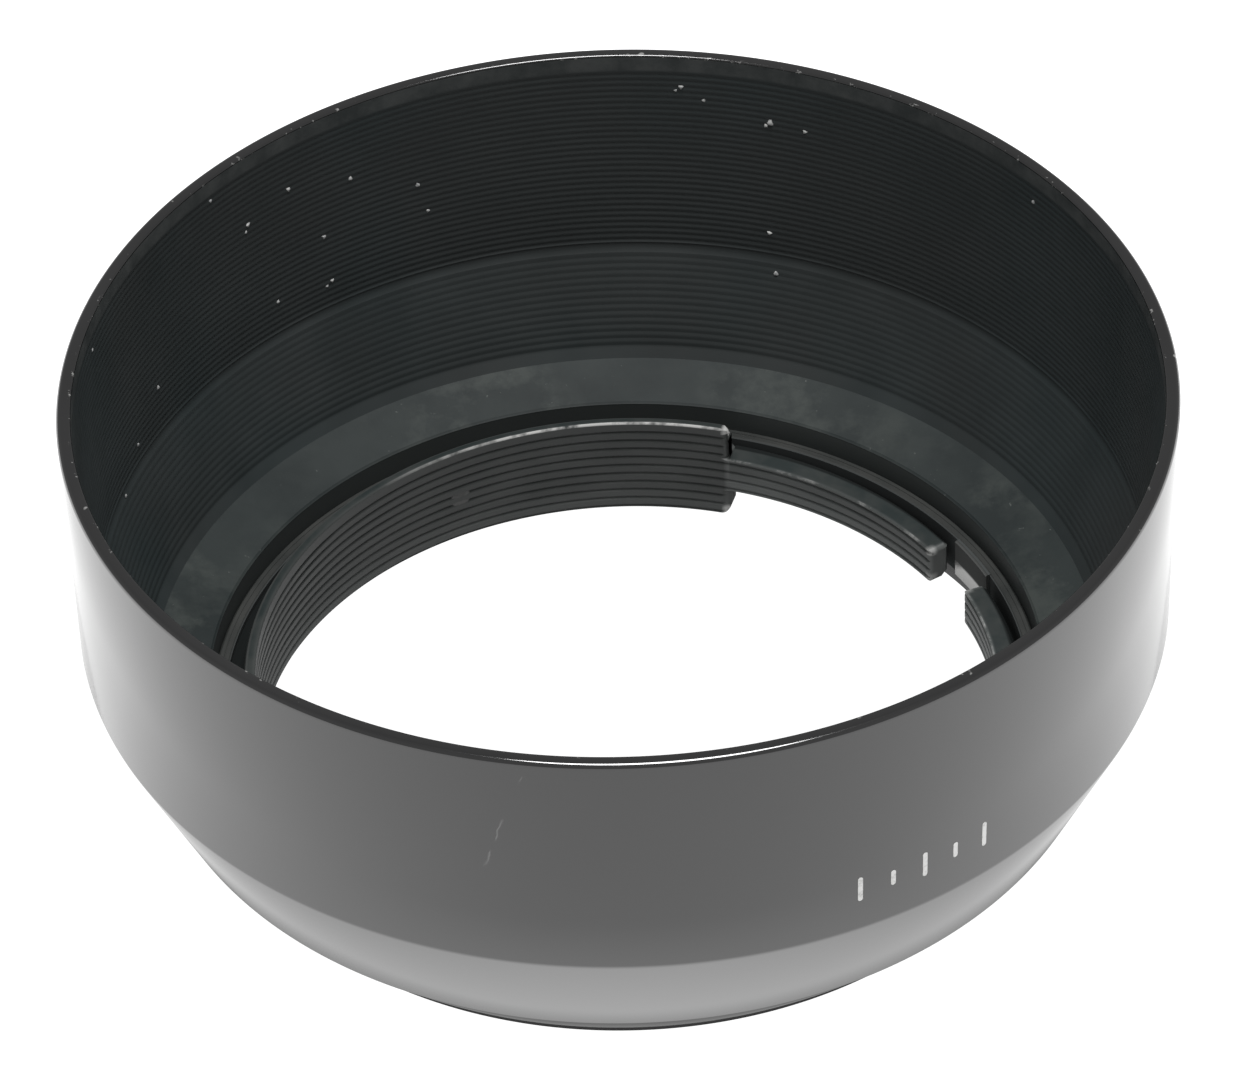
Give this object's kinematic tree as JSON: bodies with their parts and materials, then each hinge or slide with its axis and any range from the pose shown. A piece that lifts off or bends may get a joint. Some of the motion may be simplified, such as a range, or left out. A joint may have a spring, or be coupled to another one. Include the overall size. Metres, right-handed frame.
{
  "type": "lens hood",
  "caption": "Round black metal lens hood with a grooved matte interior, a tapered rear and a split spring clamp ring that grips the front of a lens.",
  "frame": {"origin": "centre of the rear face, which is the face that the hood stands on", "axes": "+Z along the optical axis, out of the front opening; +X and +Y across the hood, with the gap between the clamp arms' tips centred 27.2 degrees from +X towards +Y, and the window they stand in centred at 26.3 degrees"},
  "size_m": [0.0756, 0.0756, 0.0319],
  "materials": {
    "gloss_black_enamel": "gloss outside, matte grooved inside",
    "matte_black": "matte",
    "worn_satin_black": "satin, worn at the edges",
    "rivet_metal": "satin",
    "white_index_paint": "matte, for an index mark on the barrel"
  },
  "bodies": {
    "hood": {"hood_shell": "gloss_black_enamel", "mount_ring": "matte_black", "clamp_ring": "worn_satin_black", "clamp_rivet_1": "rivet_metal", "clamp_rivet_2": "rivet_metal", "clamp_rivet_3": "rivet_metal"},
    "arm_left": {"clamp_arm_left": "worn_satin_black"},
    "arm_right": {"clamp_arm_right": "worn_satin_black"}
  },
  "joints": [
    {"name": "arm_left_spring", "type": "hinge", "parent": "hood", "child": "arm_left", "pos_m": [0.0082, 0.0252, 0.00365], "axis": [0, 0, 1], "range_deg": [0, 1.5], "stiffness_Nm_per_rad": 1.8},
    {"name": "arm_right_spring", "type": "hinge", "parent": "hood", "child": "arm_right", "pos_m": [0.025, -0.00879, 0.00365], "axis": [0, 0, -1], "range_deg": [0, 1.5], "stiffness_Nm_per_rad": 1.8}
  ]
}
